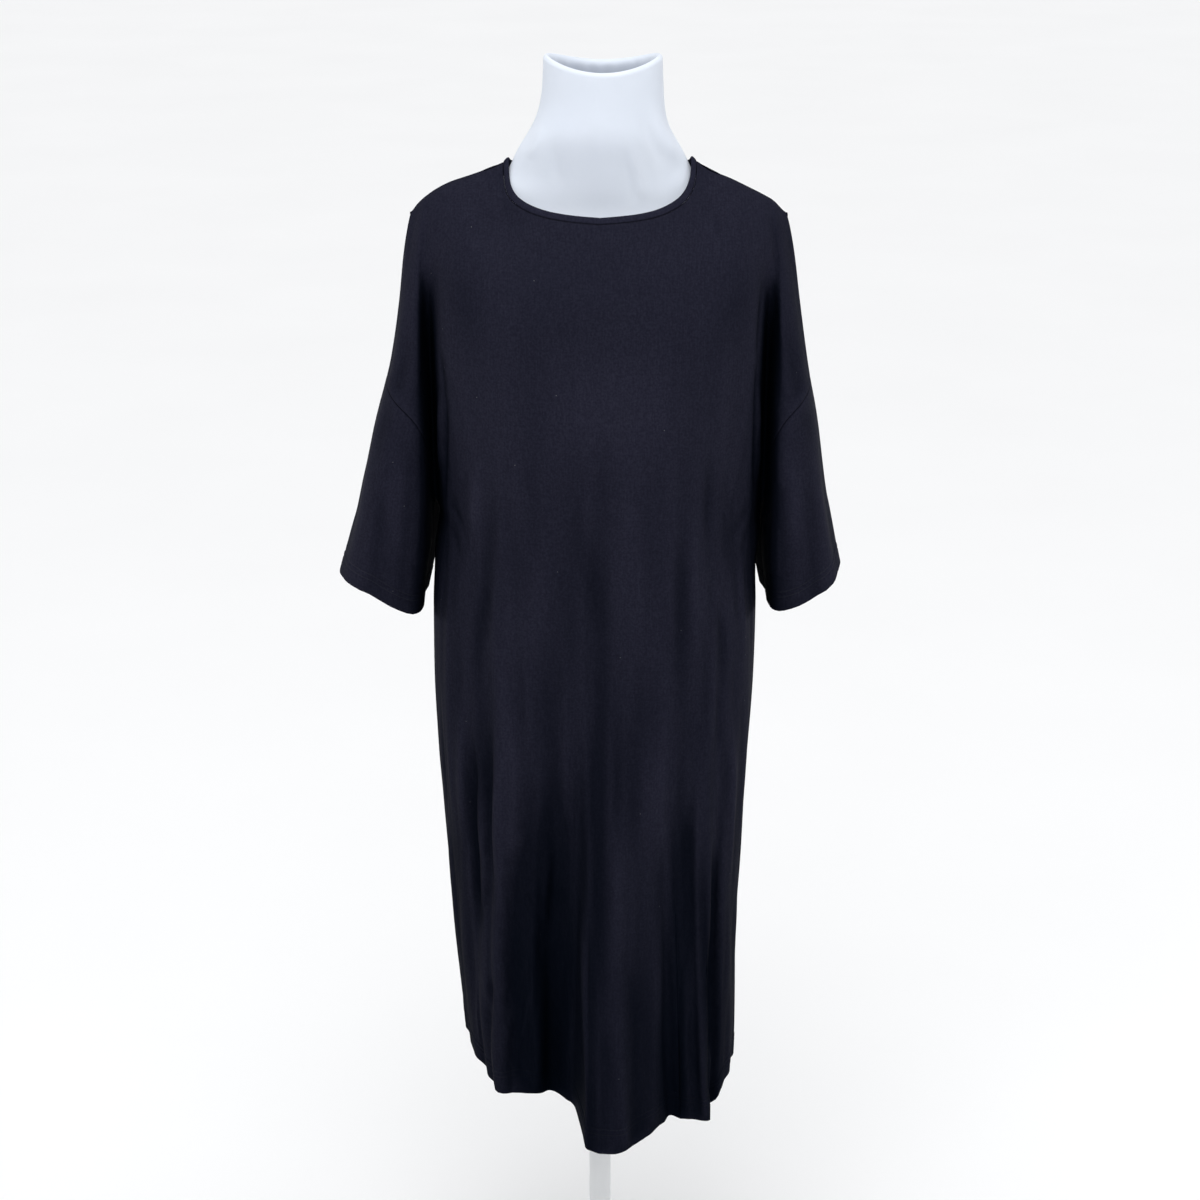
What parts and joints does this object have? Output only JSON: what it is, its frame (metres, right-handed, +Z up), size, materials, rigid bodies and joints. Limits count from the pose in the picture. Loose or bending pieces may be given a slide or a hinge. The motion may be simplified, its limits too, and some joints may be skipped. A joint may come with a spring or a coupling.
{
  "type": "jersey dress on dress form",
  "caption": "Plain knee-length jersey dress of T-shirt cut with drop shoulders and loose elbow-length sleeves, worn by a limbless dress form on a pole stand.",
  "frame": {"origin": "centre of the underside of the stand's round base, on the floor", "axes": "+Z up; the front of the dress faces -Y; +X is the right side of the front view, the wearer's left"},
  "size_m": [0.5419, 0.36, 1.5218],
  "materials": {
    "cloth": "near-black navy cotton jersey, matte with a soft sheen",
    "cover": "white stretch cover, matte",
    "stand": "pale painted steel, satin"
  },
  "bodies": {
    "root": {"front": "cloth", "back": "cloth", "sleeve_left": "cloth", "sleeve_right": "cloth", "neck_binding": "cloth", "form_torso": "cover", "stand_collar": "stand", "stand_pole": "stand", "stand_base": "stand"}
  },
  "joints": []
}
